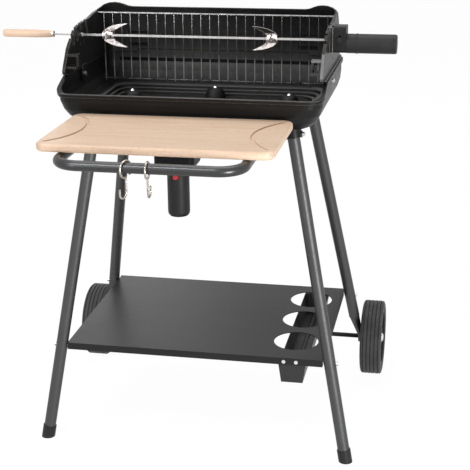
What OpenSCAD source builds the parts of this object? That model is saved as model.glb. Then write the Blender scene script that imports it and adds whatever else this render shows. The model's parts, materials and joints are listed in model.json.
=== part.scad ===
// Charcoal barbecue with a battery spit: a cast fire bowl and fire-back on four splayed
// tube legs with two wheels, a lower shelf with bottle holes and a bottle rack, a beech
// board on a front rail, an upright charcoal grid, a motor-driven spit with two forks
// and a battery blower under the bowl.
// Millimetres, +Z up. Pieces are drawn about the bowl and moved by place() so that the
// origin lies on the floor under the middle of the overall box.

/* [Legs] */
// Outer diameter of the leg tube
leg_d = 25; // [24.5:0.1:25.5]
// Wall of the leg tube
leg_wall = 1.5; // [1.2:0.1:2]
// Spread of the front feet beyond the bowl's rim
foot_spread = 59.5; // [58:0.5:61]
// Distance of the front feet in front of the bowl centre
foot_front = 219.7; // [218.7:0.1:220.7]
// Inward lean of a front leg per millimetre of height
front_in = 0.178; // [0.177:0.001:0.179]
// Backward lean of a front leg per millimetre of height
front_back = 0.077; // [0.076:0.001:0.078]
// Spread of the rear leg ends beyond the bowl's rim
axle_spread = 43.6; // [42.6:0.1:44.6]
// Distance of the rear legs' centre lines behind the bowl centre at axle height
leg_back = 221.4; // [220.4:0.1:222.4]
// Distance of the axle behind those centre lines
axle_set = 19.4; // [18:0.2:20]
// Inward lean of a rear leg per millimetre of height
rear_in = 0.174; // [0.173:0.001:0.175]
// Forward lean of a rear leg per millimetre of height
rear_fwd = 0.229; // [0.228:0.001:0.23]
// Thickness of the flattened rear leg end
flat_t = 6; // [5:0.5:7]
// Width of the flattened rear leg end
flat_w = 28; // [26:1:30]
// Height at which the rear leg starts to flatten
flat_top = 155; // [150:1:160]
// Wall of the plastic foot caps
foot_cap_wall = 1.7; // [1.4:0.1:2.2]
// Height of the plastic foot caps
foot_cap_h = 26; // [22:1:32]
// Shank diameter of the frame bolts
bolt_d = 5; // [4.6:0.1:5.2]

/* [Wheels] */
// Outer diameter of the wheels
wheel_d = 177; // [174:1:180]
// Width of the tread
tyre_w = 50; // [48:0.5:51]
// Distance of a wheel's middle plane outside the leg end
wheel_out = 31.7; // [31.4:0.1:33.4]
// Diameter of the wheel disc inside the tyre
disc_d = 138; // [132:1:142]
// Width of the wheel hub
hub_w = 36; // [35:0.5:38]
// Diameter of the wheel hub
hub_d = 34; // [30:1:38]
// Diameter of the axle
axle_d = 10.5; // [10:0.1:11]
// Number of grooves round the tread
tread_grooves = 5; // [3:1:6]
// Depth of the tread grooves
tread_depth = 2.4; // [1.5:0.1:3]

/* [Shelf] */
// Height of the shelf's top face
shelf_top = 222; // [220:0.5:224]
// Thickness of the shelf sheet
shelf_t = 1.4; // [1.2:0.1:1.6]
// Depth of the folded shelf edge
shelf_flange = 15; // [14.5:0.1:16]
// Distance of the shelf's front edge in front of the bowl centre
shelf_front = 210; // [208:0.5:212]
// Distance of the shelf's back edge behind the bowl centre
shelf_back = 207; // [205:0.5:209]
// Diameter of the bottle holes
bottle_d = 95; // [90:0.5:97]
// Distance of the bottle holes in from the bowl's rim
bottle_in = 61; // [59:0.5:65]
// Spacing of the bottle holes
bottle_pitch = 121.5; // [118:0.5:123]
// Middle bottle hole behind the bowl centre
bottle_mid = 3; // [1:0.5:5]
// Distance of the rack's middle right of the bottle holes
rack_right = 4; // [3:0.5:5]
// Width of the bottle rack at its top
rack_top_w = 57; // [54:0.5:60]
// Width of the bottle rack at its floor
rack_floor_w = 45.5; // [42:0.5:48]
// Height of the bottle rack's floor above the ground
rack_floor = 167; // [160:1:172]
// Thickness of the bottle rack sheet
rack_t = 1.2; // [1:0.1:1.5]

/* [Bowl] */
// Half width of the bowl at its rim
bowl_half_x = 268; // [267:0.5:269]
// Distance of the bowl's front rim in front of its centre
bowl_front = 221; // [220:0.5:222]
// Distance of the bowl's back rim behind its centre
bowl_back = 150; // [149:0.5:152]
// Height of the bowl's underside
bowl_bottom = 698; // [697.5:0.1:698.5]
// Height of the side and back rim above the underside
bowl_h = 92; // [91:0.5:92]
// How far the front rim lies below the side rim
front_drop = 24; // [22:0.5:26]
// Wall of the casting
bowl_wall = 5; // [4.6:0.1:5.4]
// How far the wall curves in towards the underside
bowl_curve = 52; // [50:0.5:54]
// Corner radius of the bowl in plan
bowl_corner = 34; // [32:0.5:36]
// Height of the rim bead
bead_h = 7; // [5:0.5:9]
// How far the rim bead stands out
bead_out = 3; // [2:0.5:3]
// Height of one inner ledge
ledge_h = 6; // [5:0.5:6.5]
// Outer diameter of the leg sockets
socket_d = 35; // [34:0.5:36]

/* [Fire-back] */
// Wall of the fire-back
back_wall = 6; // [5.5:0.1:6.3]
// How far the cheeks stand in from the bowl's rim
cheek_in = 4; // [3.8:0.1:4.2]
// Height of the fire-back above the bowl's rim
back_h = 106; // [105:0.5:107]
// Rise of the rounded ears at the back corners
ear_rise = 10; // [6:0.5:11]
// Number of spit notches in each cheek
notch_count = 4; // [3:1:4]
// Slant of the spit notches
notch_slant = 24; // [18:1:28]

/* [Charcoal grid] */
// Distance of the grid behind the bowl centre
grid_y = 61; // [59:0.5:63]
// Depth of the grid's top rail below the fire-back's top edge
grid_drop = 9.5; // [9:0.5:10]
// Height of the grid's lower end above the bowl's underside
grid_foot = 41; // [38:0.5:44]
// Diameter of the grid rails
grid_rail_d = 5; // [4.5:0.1:5.5]
// Diameter of the upright wires
grid_wire_d = 2.5; // [2.3:0.1:2.7]
// Number of upright wires
grid_wires = 26; // [20:1:28]
// Distance of the outer wires from the cheeks' outer faces
grid_side = 19.5; // [18:0.5:22]

/* [Board and rail] */
// Half length of the board
board_half_x = 220.5; // [217:0.5:223]
// Distance of the board's and the rail's middle left of the bowl centre
board_left = 6; // [5:0.5:7]
// Distance of the board's front edge in front of the bowl centre
board_front = 466; // [462:0.5:470]
// Distance of the board's back edge in front of the bowl centre
board_back = 215; // [214:0.5:217]
// Thickness of the board
board_t = 15.5; // [14.5:0.1:16.5]
// Corner radius of the board
board_corner = 22; // [18:0.5:26]
// Width of the juice groove
groove_w = 7.5; // [6:0.5:8]
// Depth of the juice groove
groove_depth = 2.4; // [1.5:0.1:3]
// Diameter of the rail tube
rail_d = 19.5; // [19:0.1:19.7]
// Height of the rail's centre line above the bowl's underside
rail_up = 4.2; // [4:0.1:4.5]
// Distance of the rail's front bar in front of the bowl centre
rail_front = 510; // [507:0.5:512]
// Half distance between the rail's arms
rail_half_x = 171; // [169:0.5:172]
// Bend radius of the rail
rail_bend = 45; // [42:0.5:48]
// Wire diameter of the hooks
hook_wire = 4; // [3.6:0.1:4.1]
// Inner diameter of the hooks' upper ring
hook_ring = 26.5; // [26.4:0.1:27.5]
// Distance from the ring centre to the centre of the hook's lower bend
hook_drop = 42; // [38:1:46]

/* [Spit] */
// Spit axis in front of the bowl centre
spit_front = 58; // [57.8:0.1:58.2]
// Height of the spit axis above the bowl's rim
spit_up = 68; // [67.8:0.1:68.2]
// Side of the square spit bar
bar_w = 4; // [3.9:0.1:4.2]
// Diameter of the round journals on the bar
journal_d = 8.6; // [8.5:0.1:8.8]
// Diameter of the wooden handle
handle_d = 16.4; // [15:0.1:18]
// Length of the wooden handle
handle_len = 106; // [100:1:110]
// Distance of the handle's inner end from the bowl centre
handle_x = 324; // [322:0.5:326]
// Middle of the left fork's hub from the bowl centre
fork_left_x = 200; // [190:1:205]
// Middle of the right fork's hub from the bowl centre
fork_right_x = 144.5; // [138:0.5:150]
// Length of a fork hub
fork_hub = 22; // [20:0.5:24]
// Reach of the prongs past the hub
fork_reach = 29; // [26:0.5:32]
// Half distance between the prong tips
fork_half = 24; // [21:0.5:26]
// Thickness of the prongs
fork_t = 5; // [4:0.5:6]

/* [Spit motor] */
// Width of the gearbox along the spit
gearbox_w = 26; // [25:0.5:27]
// Height of the gearbox
gearbox_h = 53; // [52:0.5:54]
// Depth of the gearbox
gearbox_depth = 39; // [38:0.5:40]
// Diameter of the motor housing
motor_d = 39; // [38.6:0.1:39.6]
// Length of the motor housing
motor_len = 93; // [92.5:0.1:94]
// Wall of the plastic housings
shell_wall = 1.6; // [1.4:0.1:1.7]
// Tooth module of the spit gears
gear_module = 0.65; // [0.64:0.01:0.66]
// Diameter of the battery cell that drives the spit
cell_d = 33; // [31:0.1:33.2]

/* [Blower] */
// Blower axis left of the bowl centre
blower_left = 60.5; // [59:0.5:62]
// Blower axis in front of the bowl centre
blower_front = 50; // [48:0.5:52]
// Width and depth of the duct
duct_w = 87; // [85:0.5:89]
// Height of the duct under the bowl
duct_h = 123; // [121:0.5:125]
// Diameter of the grip tube
grip_d = 48; // [47:0.5:49]
// Distance from the duct's lower end to the grip tube's lower end
grip_drop = 105.5; // [104:0.5:107]
// Diameter of the button
button_d = 12; // [11:0.1:13]
// Diameter of the fan
fan_d = 66; // [62:0.5:68]

/* [Hidden] */
fine = 48;
mid = 32;
wire_fn = 16;
eps = 1;
seat = 0.3;
slip = 0.15;
run = 0.08;
reach = 400;
black = [0.08, 0.08, 0.085];
grey = [0.22, 0.23, 0.25];
bright = [0.78, 0.79, 0.8];
wood = [0.83, 0.68, 0.5];
foot_half_x = bowl_half_x + foot_spread;
axle_half_x = bowl_half_x + axle_spread;
wheel_x = axle_half_x + wheel_out;
bottle_x = bowl_half_x - bottle_in;
cheek_half_x = bowl_half_x - cheek_in;
bowl_rim = bowl_bottom + bowl_h;
front_rim = bowl_rim - front_drop;
back_top = bowl_rim + back_h;
grid_top = back_top - grid_drop;
grid_bottom = bowl_bottom + grid_foot;
grid_span = 2 * (cheek_half_x - grid_side);
rail_z = bowl_bottom + rail_up;
spit_z = bowl_rim + spit_up;
duct_bottom = bowl_bottom - duct_h;
grip_bottom = duct_bottom - grip_drop;
axle_z = wheel_d / 2;
axle_back = leg_back + axle_set;
spit_left = handle_x + handle_len;
gear_x0 = cheek_half_x + 7;
motor_x0 = gear_x0 + gearbox_w + seat;
cap_len = 6.7;
motor_end = motor_x0 + motor_len + seat + cap_len;
shift_x = (spit_left - motor_end) / 2;
shift_y = (rail_front + hook_ring / 2 + hook_wire - axle_back - wheel_d / 2) / 2;
front_k = norm([front_in, front_back, 1]);
rear_k = norm([rear_in, rear_fwd, 1]);
function front_at(z) = [foot_half_x - front_in * z, front_back * z - foot_front, z];
function rear_at(z) = [axle_half_x - rear_in * (z - axle_z), leg_back - rear_fwd * (z - axle_z), z];

// Moves a piece drawn about the bowl into the frame of the whole object.
module place() {
  translate([shift_x, shift_y, 0]) children();
}

// Draws a right-hand piece as drawn (s = 1) or mirrored to the left (s = -1).
module side(s) {
  if (s < 0) mirror([1, 0, 0]) children();
  else children();
}

// Tilts a piece so that its Z axis leans by dx and dy per unit of height.
module tilt(dx, dy) {
  rotate(a = atan(norm([dx, dy])), v = [-dy, dx, 0]) children();
}

// Cylinder along X or Y between two coordinates.
module x_cyl(d, x0, x1, fn = mid) {
  translate([x0, 0, 0]) rotate([0, 90, 0]) cylinder(d = d, h = x1 - x0, $fn = fn);
}
module y_cyl(d, y0, y1, fn = mid) {
  translate([0, y0, 0]) rotate([-90, 0, 0]) cylinder(d = d, h = y1 - y0, $fn = fn);
}

// Extrudes a flat outline: across X from its Y-Z points, across Y from its X-Z points.
module x_sheet(x0, x1) {
  translate([x0, 0, 0]) rotate([90, 0, 90]) linear_extrude(x1 - x0) children();
}
module y_sheet(y0, y1) {
  translate([0, y1, 0]) rotate([90, 0, 0]) linear_extrude(y1 - y0) children();
}

// Box from its two corners.
module box(a, b) {
  translate(a) cube(b - a);
}

// Rounded rectangle as a list of points, and as a ring at height z.
function rounded(x0, x1, y0, y1, r, n) = [
  for (c = [0:3], i = [0:n])
    let (a = c * 90 + i * 90 / n, right = c == 0 || c == 3, top = c < 2)
    [(right ? x1 - r : x0 + r) + r * cos(a), (top ? y1 - r : y0 + r) + r * sin(a)]];
function ring(hx, y0, y1, r, z, n = 6) = [for (p = rounded(-hx, hx, y0, y1, r, n)) [p[0], p[1], z]];

// Solid through a stack of rings with equal point counts.
module loft(rings) {
  m = len(rings[0]);
  k = len(rings);
  polyhedron(
    points = [for (g = rings) each g],
    faces = concat(
      [[for (i = [0:m - 1]) i]],
      [for (j = [0:k - 2], i = [0:m - 1])
        [j * m + i, (j + 1) * m + i, (j + 1) * m + (i + 1) % m, j * m + (i + 1) % m]],
      [[for (i = [m - 1:-1:0]) (k - 1) * m + i]]));
}

// Heights shared by the bowl, the legs and their bolts.
curve_steps = 6;
bowl_floor = bowl_bottom + bowl_wall;
ledges = 3;
ledge_run = 7;
floor_inset = bowl_curve + 4;
socket_top = bowl_bottom - 1;
front_socket = bowl_bottom - 17;
rear_socket = bowl_bottom - 28;
front_bolt_z = bowl_bottom - 9;
rear_bolt_z = bowl_bottom - 16;
pad_d = 14;
pad_half = socket_d / 2 + 1;
rim_slope_front = bowl_front - 9;
rim_slope_back = bowl_front - 71;
boss_x = bowl_half_x - 97;
boss_y = 5;
boss_mid_y = 60;
boss_top = bowl_bottom + 31;
boss_foot = 23;
boss_flat = 10;
cheek_bolt_y = -55;
cheek_bolt_z = bowl_rim - 15;
air_slots = 5;
air_pitch = 14;
air_w = 7;
air_len = 52;

function bowl_inset(a) = bowl_curve * (1 - sin(a));
function bowl_z(a) = bowl_bottom + (front_rim - bowl_bottom) * (1 - cos(a));
function bowl_ring(inset, z, corner) =
  ring(bowl_half_x - inset, inset - bowl_front, bowl_back - inset, corner, z);
function bowl_skin(out) = concat(
  [for (i = [0:curve_steps]) let (a = i * 90 / curve_steps)
    bowl_ring(bowl_inset(a) - out, bowl_z(a), bowl_corner - bowl_inset(a) * 0.2)],
  [bowl_ring(-out, bowl_rim + eps, bowl_corner)]);
function bowl_hollow() = concat(
  [bowl_ring(floor_inset, bowl_floor, bowl_corner + 6)],
  [for (k = [1:ledges], e = [0, 1])
    bowl_ring(floor_inset - k - (k - 1 + e) * ledge_run, bowl_floor + k * ledge_h, bowl_corner + 6 - k * 2)],
  [for (i = [4:curve_steps]) let (a = i * 90 / curve_steps)
    bowl_ring(bowl_inset(a) * 2 + bowl_wall, bowl_z(a), bowl_corner - bowl_wall)],
  [bowl_ring(bowl_wall, bowl_rim + 2 * eps, bowl_corner - bowl_wall)]);

// Rim line in side view, lowered by drop.
function rim_line(drop) = [
  [-reach, front_rim - drop], [-rim_slope_front, front_rim - drop],
  [-rim_slope_back, bowl_rim - drop], [reach, bowl_rim - drop]];
function turned(list) = [for (i = [len(list) - 1:-1:0]) list[i]];

// Frames along a front leg (from its foot) and a rear leg (from the axle).
module front_axis(z = 0) {
  translate([foot_half_x, -foot_front, 0]) tilt(-front_in, front_back)
    translate([0, 0, z * front_k]) children();
}
module rear_axis(z = 0) {
  translate([axle_half_x, leg_back, axle_z]) tilt(-rear_in, -rear_fwd)
    translate([0, 0, (z - axle_z) * rear_k]) children();
}

module fire_bowl() place() color(black) union() {
  difference() {
    union() {
      loft(bowl_skin(0));
      intersection() {
        loft(bowl_skin(bead_out));
        x_sheet(-reach, reach) polygon(concat(rim_line(0), turned(rim_line(bead_h))));
      }
      for (s = [-1, 1]) side(s) {
        front_axis(front_socket)
          cylinder(d = socket_d, h = (bowl_floor + 4 - front_socket) * front_k, $fn = fine);
        rear_axis(rear_socket)
          cylinder(d = socket_d, h = (bowl_floor + 4 - rear_socket) * rear_k, $fn = fine);
        translate(front_at(front_bolt_z)) x_cyl(pad_d, -pad_half, pad_half);
        translate(rear_at(rear_bolt_z)) x_cyl(pad_d, -pad_half, pad_half);
      }
    }
    loft(bowl_hollow());
    x_sheet(-reach, reach)
      polygon(concat(rim_line(0), [[reach, bowl_rim + 2 * ear_rise], [-reach, bowl_rim + 2 * ear_rise]]));
    for (s = [-1, 1]) side(s) {
      front_axis(front_socket - 9)
        cylinder(d = leg_d + 2 * slip, h = (socket_top - front_socket + 9) * front_k, $fn = fine);
      rear_axis(rear_socket - 9)
        cylinder(d = leg_d + 2 * slip, h = (socket_top - rear_socket + 9) * rear_k, $fn = fine);
      translate(front_at(front_bolt_z)) x_cyl(bolt_d + 2 * slip, -2 * pad_half, 2 * pad_half);
      translate(rear_at(rear_bolt_z)) x_cyl(bolt_d + 2 * slip, -2 * pad_half, 2 * pad_half);
      translate([bowl_half_x, cheek_bolt_y, cheek_bolt_z]) x_cyl(bolt_d + 2 * slip, -20, 20);
    }
    for (i = [0:air_slots - 1])
      translate([(i - (air_slots - 1) / 2) * air_pitch - blower_left, -blower_front, bowl_bottom])
        cube([air_w, air_len, 4 * bowl_wall], center = true);
    for (x = [-1, 1], y = [-1, 1])
      translate([x * duct_screw - blower_left, y * duct_screw - blower_front, bowl_bottom - eps])
        cylinder(d = screw_d + 2 * slip, h = bowl_wall - 1 + eps, $fn = mid);
  }
  for (p = boss_points) translate([p[0], p[1], bowl_floor - eps]) difference() {
    rotate_extrude($fn = fine) polygon(concat(
      [[0, 0]],
      [for (a = [0:15:90])
        [boss_flat + (boss_foot - boss_flat) * cos(a), (boss_top - bowl_floor + eps) * sin(a)]],
      [[0, boss_top - bowl_floor + eps]]));
    translate([0, 0, 8]) cylinder(d = bolt_d + 2 * slip, h = boss_top, $fn = mid);
  }
}
boss_points = [[-boss_x, boss_y], [boss_x, boss_y], [0, boss_mid_y]];
screw_d = 4;
duct_lip = 9;
duct_screw = duct_w / 2 + duct_lip / 2 - 1;

// Bolts seen inside the bowl: one on each boss, one through each fire-back tab.
tab_in = bowl_half_x - bowl_wall - seat - back_wall;
module bowl_bolts() place() color(bright) union() {
  for (p = boss_points) translate([p[0], p[1], boss_top + seat]) {
    cylinder(d1 = 11, d2 = 7, h = 3.5, $fn = mid);
    translate([0, 0, seat - boss_top + bowl_floor + 8])
      cylinder(d = bolt_d, h = boss_top - bowl_floor - 8, $fn = mid);
  }
  for (s = [-1, 1]) side(s) translate([0, cheek_bolt_y, cheek_bolt_z]) {
    x_cyl(10, tab_in - seat - 3.5, tab_in - seat);
    x_cyl(bolt_d, tab_in - seat, bowl_half_x + 6);
    x_cyl(9, bowl_half_x + seat, bowl_half_x + 4.3, 6);
  }
}

// Fire-back: cheeks and a concave back wall, standing on the bowl's rim.
back_in = bowl_back - 9;
back_lean = 45;
back_steps = 9;
back_corner = 30;
foot_h = 5;
back_base = bowl_rim + seat;
ear_top = back_top + ear_rise;
notch_w = journal_d + 0.7;
notch_deep = 60;
vent_half = cheek_half_x - 69;
vent_h = 6.5;
slot_x0 = cheek_half_x - 94;
slot_x1 = cheek_half_x - 49;
slot_h = 6;
slot_low = bowl_rim + 17;
slot_high = bowl_rim + 43;
lug_in = cheek_half_x - 26;
lug_t = 4;
lug_low = bowl_rim + 16;
lug_high = bowl_rim + 39;
function back_y(z) = back_in - back_lean * pow(max(z - bowl_rim - 10, 0) / 96, 2);
function back_skin(hx, out, r, z0) = [
  for (i = [0:back_steps]) let (z = z0 + i * (ear_top + 4 - z0) / back_steps)
    ring(hx, -reach, back_y(z) + out, r, z)];
// Slanted slot with a round end, its length along the slant.
function slot_pts(w, slant, h) =
  let (u = [cos(slant), sin(slant)] * w / 2, v = [-sin(slant), cos(slant)] * h)
  concat([for (i = [0:10]) let (a = 180 + slant + i * 18) [cos(a), sin(a)] * w / 2], [v + u, v - u]);
// Notch positions behind or in front of the spit, with the height of each seat.
notch_seats = [[0, 0], [38, 0], [-30, -4], [-54, -9]];
// Cheek outline from the front foot up and back along the notched edge.
cheek_edge = [
  [-150, 0], [-172, 5], [-178, 11], [-170, 24], [-158, 39], [-148, 53], [-136, 62], [-121, 71],
  [-104, 83], [-88, 88], [-72, 91], [-37, 93.5], [-5, 94.4], [30, 99], [65, 103.7], [82, 105.7],
  [84, 140], [240, 140], [240, 0]];
ear_half = [for (p = [
  [-73, 0], [-64, 0.15], [-54, 0.6], [-45, 0.9], [-36, 1], [-24, 0.9], [-13, 0.55], [-5, 0], [2, -0.8]])
  [cheek_half_x + p[0], p[1]]];

module fire_back() place() color(black) union() {
  difference() {
    intersection() {
      difference() {
        union() {
          loft(back_skin(cheek_half_x, back_wall, back_corner, back_base));
          loft([for (z = [back_base, back_base + foot_h])
            ring(bowl_half_x, -reach, bowl_back, bowl_corner, z)]);
        }
        loft(back_skin(cheek_half_x - back_wall, 0, back_corner - back_wall, back_base - 2));
      }
      x_sheet(-reach, reach) polygon([for (p = cheek_edge) [p[0], p[1] + back_base]]);
      y_sheet(-reach, reach) polygon(concat(
        [[-reach, 0], [reach, 0], [reach, back_top - ear_rise]],
        [for (p = turned(ear_half)) [p[0], back_top + p[1] * ear_rise]],
        [for (p = ear_half) [-p[0], back_top + p[1] * ear_rise]],
        [[-reach, back_top - ear_rise]]));
    }
    for (i = [0:notch_count - 1]) x_sheet(-reach, reach)
      translate([notch_seats[i][0] - spit_front, notch_seats[i][1] + spit_z])
        polygon(slot_pts(notch_w, notch_slant, notch_deep));
    x_sheet(-reach, reach) translate([grid_y, grid_top])
      polygon(slot_pts(grid_rail_d + 2 * seat, 0, notch_deep));
    box([-vent_half, back_in - 20, back_base - eps],
      [vent_half, back_in + back_wall / 2, back_base + vent_h]);
    for (s = [-1, 1], z = [slot_low, slot_high]) side(s)
      box([slot_x0, 0, z - slot_h / 2], [slot_x1, back_y(z) + back_wall / 2, z + slot_h / 2]);
    for (s = [-1, 1], y = [-1, 1]) side(s)
      translate([cheek_half_x, y * bracket_screw - spit_front, bracket_screw_z])
        x_cyl(screw_d + 2 * slip, -20, 20);
  }
  for (s = [-1, 1]) side(s) {
    box([lug_in, -156, lug_high], [cheek_half_x - 4, -138, lug_high + lug_t]);
    box([lug_in, -168, lug_low], [cheek_half_x - 4, -138, lug_low + lug_t]);
    box([lug_in, -150, lug_low + 1], [lug_in + lug_t, -138, lug_high + 1]);
    difference() {
      box([tab_in, cheek_bolt_y - 12, cheek_bolt_z - 11],
        [tab_in + back_wall, cheek_bolt_y + 12, back_base + foot_h]);
      translate([tab_in, cheek_bolt_y, cheek_bolt_z]) x_cyl(bolt_d + 2 * slip, -20, 20);
    }
  }
}
bracket_screw = 12;
bracket_screw_z = spit_z - 16;

// Upright charcoal grid: round wires welded to a top and a bottom rail.
weld = 0.7;
grid_half = cheek_half_x - 2;
wire_y = grid_y - (grid_rail_d + grid_wire_d) / 2 + weld;
module charcoal_grid() place() color(bright) union() {
  translate([0, grid_y, grid_top]) x_cyl(grid_rail_d, -grid_half, grid_half, wire_fn);
  translate([0, wire_y + grid_wire_d - weld, grid_bottom + 5])
    x_cyl(grid_wire_d, -grid_span / 2 - 4, grid_span / 2 + 4, wire_fn);
  for (i = [0:grid_wires - 1])
    translate([(i / (grid_wires - 1) - 0.5) * grid_span, wire_y, grid_bottom])
      cylinder(d = grid_wire_d, h = grid_top - grid_bottom + 1, $fn = wire_fn);
}

// Legs: round tubes; the rear pair is pressed flat towards the axle.
leg_top = socket_top - seat;
foot_floor = 5;
paddle_h = 22;
paddle_slant = atan((axle_back - rear_at(flat_top)[1]) / (flat_top - axle_z));
shelf_bolt_z = shelf_top - shelf_flange / 2;
module front_leg(s) place() side(s) color(grey) difference() {
  front_axis(foot_floor + seat)
    cylinder(d = leg_d, h = (leg_top - foot_floor - seat) * front_k, $fn = fine);
  front_axis(0) cylinder(d = leg_d - 2 * leg_wall, h = (leg_top + 9) * front_k, $fn = fine);
  for (z = [front_bolt_z, shelf_bolt_z]) translate(front_at(z)) x_cyl(bolt_d + 2 * slip, -leg_d, leg_d);
}
module front_leg_left() front_leg(-1);
module front_leg_right() front_leg(1);

module rear_leg(s) place() side(s) color(grey) difference() {
  union() {
    difference() {
      rear_axis(flat_top) cylinder(d = leg_d, h = (leg_top - flat_top) * rear_k, $fn = fine);
      rear_axis(flat_top - 9)
        cylinder(d = leg_d - 2 * leg_wall, h = (leg_top - flat_top + 18) * rear_k, $fn = fine);
    }
    hull() {
      rear_axis(flat_top) cylinder(d = leg_d - leg_wall, h = 2, $fn = mid);
      translate([axle_half_x, axle_back, axle_z]) rotate([paddle_slant, 0, 0])
        translate([0.2 - flat_t / 2, 0.2 - flat_w / 2, paddle_h - 2])
          cube([flat_t - 0.4, flat_w - 0.4, 1]);
    }
    translate([axle_half_x, axle_back, axle_z]) x_sheet(-flat_t / 2, flat_t / 2)
      polygon(slot_pts(flat_w, paddle_slant, paddle_h));
  }
  translate([axle_half_x, axle_back, axle_z]) x_cyl(axle_d + 2 * slip, -leg_d, leg_d);
  for (z = [rear_bolt_z, shelf_bolt_z]) translate(rear_at(z)) x_cyl(bolt_d + 2 * slip, -leg_d, leg_d);
}
module rear_leg_left() rear_leg(-1);
module rear_leg_right() rear_leg(1);

// Bolts through the sockets; the front pair also holds the rail's tabs.
tab_t = 3;
head_h = 3.5;
head_d = 9;
module leg_bolts() place() color(bright) union() for (s = [-1, 1]) side(s) {
  translate(front_at(front_bolt_z)) {
    x_cyl(bolt_d, -pad_half - tab_t - 2 * seat - eps, pad_half + 6);
    x_cyl(head_d, -pad_half - tab_t - 2 * seat - head_h, -pad_half - tab_t - 2 * seat);
  }
  translate(rear_at(rear_bolt_z)) {
    x_cyl(bolt_d, -pad_half - seat - eps, pad_half + 6);
    x_cyl(head_d, -pad_half - seat - head_h, -pad_half - seat);
  }
}
module leg_nuts() place() color(bright) union()
  for (s = [-1, 1], p = [front_at(front_bolt_z), rear_at(rear_bolt_z)])
  side(s) translate(p) difference() {
    x_cyl(head_d, pad_half + seat, pad_half + seat + 4, 6);
    x_cyl(bolt_d + 2 * slip, pad_half, pad_half + 9);
  }

module foot_cap(s) place() side(s) color(black) difference() {
  front_axis(-8)
    cylinder(d = leg_d + 2 * slip + 2 * foot_cap_wall, h = (foot_cap_h + 8) * front_k, $fn = fine);
  front_axis(foot_floor) cylinder(d = leg_d + 2 * slip, h = 2 * foot_cap_h, $fn = fine);
  translate([foot_half_x, -foot_front, -reach / 2]) cube(reach, center = true);
}
module foot_cap_left() foot_cap(-1);
module foot_cap_right() foot_cap(1);

// Axle with a spacer collar inside each wheel, and the bright caps on its ends.
hub_out = wheel_x + hub_w / 2;
axle_end = hub_out + 5;
module axle() place() color(black) translate([0, axle_back, axle_z]) union() {
  x_cyl(axle_d, -axle_end, axle_end);
  for (s = [-1, 1]) side(s)
    x_cyl(axle_d + 6, axle_half_x + flat_t / 2 + seat, wheel_x - hub_w / 2 - seat);
}
module axle_caps() place() color(bright) for (s = [-1, 1]) side(s)
  translate([hub_out + seat, axle_back, axle_z]) difference() {
    rotate([0, 90, 0]) rotate_extrude($fn = mid)
      polygon([[0, 0], [11, 0], [11, 2], [9.5, 4.6], [6, 6.6], [0, 7.2]]);
    x_cyl(axle_d + 2 * slip, -eps, axle_end - hub_out);
  }

// Wheel: hub, web with ribs and a rim that carries the tyre.
web = 3;
rim_t = 8;
wheel_ribs = 8;
rim_half = tyre_w / 2 - 2;
module on_wheel(s) place() side(s) translate([wheel_x, axle_back, axle_z]) rotate([0, 90, 0]) children();
module wheel(s) on_wheel(s) color(black) difference() {
  union() {
    rotate_extrude($fn = fine) polygon([
      [0, -hub_w / 2], [hub_d / 2, -hub_w / 2], [hub_d / 2, -web], [disc_d / 2 - rim_t, -web],
      [disc_d / 2 - rim_t, -rim_half], [disc_d / 2, -rim_half], [disc_d / 2, rim_half],
      [disc_d / 2 - rim_t, rim_half], [disc_d / 2 - rim_t, web], [hub_d / 2, web],
      [hub_d / 2, hub_w / 2], [0, hub_w / 2]]);
    for (i = [0:wheel_ribs - 1]) rotate([0, 0, i * 360 / wheel_ribs])
      translate([hub_d / 2 - eps, -2, -rim_half + 4])
        cube([disc_d / 2 - rim_t - hub_d / 2 + 2 * eps, 4, 2 * rim_half - 8]);
  }
  translate([0, 0, -hub_w]) cylinder(d = axle_d + 2 * run, h = 2 * hub_w, $fn = fine);
}
module wheel_left() wheel(-1);
module wheel_right() wheel(1);

tread_r = wheel_d / 2;
groove_step = (tyre_w - 14) / (tread_grooves - 1);
function tread_pts() = [for (k = [0:tread_grooves - 1], q = [[-1.3, 0], [-0.8, 1], [0.8, 1], [1.3, 0]])
  [tread_r - q[1] * tread_depth, (k - (tread_grooves - 1) / 2) * groove_step + q[0]]];
module tyre(s) on_wheel(s) color(black)
  rotate_extrude($fn = 64) polygon(concat(
    [[disc_d / 2 + slip, -tyre_w / 2 + 1], [disc_d / 2 + 3, -tyre_w / 2], [tread_r - 7, -tyre_w / 2],
     [tread_r - 2.5, -tyre_w / 2 + 1.5], [tread_r, -tyre_w / 2 + 4.5]],
    tread_pts(),
    [[tread_r, tyre_w / 2 - 4.5], [tread_r - 2.5, tyre_w / 2 - 1.5], [tread_r - 7, tyre_w / 2],
     [disc_d / 2 + 3, tyre_w / 2], [disc_d / 2 + slip, tyre_w / 2 - 1]]));
module tyre_left() tyre(-1);
module tyre_right() tyre(1);

// Shelf: one folded sheet with three bottle holes.
leg_face = leg_d / 2 * 1.025;
head_face = leg_face + seat + head_d / 2 * max(front_in, rear_in);
shelf_half_x = min(front_at(shelf_top)[0], rear_at(shelf_top)[0]) - leg_face - seat;
rack_screw_x = 13;
rack_len = [seat + shelf_t - shelf_front, shelf_back - shelf_t - seat];
module lower_shelf() place() color(black) difference() {
  box([-shelf_half_x, -shelf_front, shelf_top - shelf_flange], [shelf_half_x, shelf_back, shelf_top]);
  box([shelf_t - shelf_half_x, shelf_t - shelf_front, shelf_top - 2 * shelf_flange],
    [shelf_half_x - shelf_t, shelf_back - shelf_t, shelf_top - shelf_t]);
  for (k = [-1:1]) translate([bottle_x, bottle_mid + k * bottle_pitch, shelf_top - 9])
    cylinder(d = bottle_d, h = 18, $fn = 64);
  for (p = [front_at(shelf_bolt_z), rear_at(shelf_bolt_z)])
    translate([0, p[1], p[2]]) x_cyl(bolt_d + 2 * slip, -reach, reach);
  for (k = [-1, 1]) translate([bottle_x + k * rack_screw_x, 0, shelf_bolt_z])
    y_cyl(screw_d + 2 * slip, -reach, reach);
}
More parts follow.
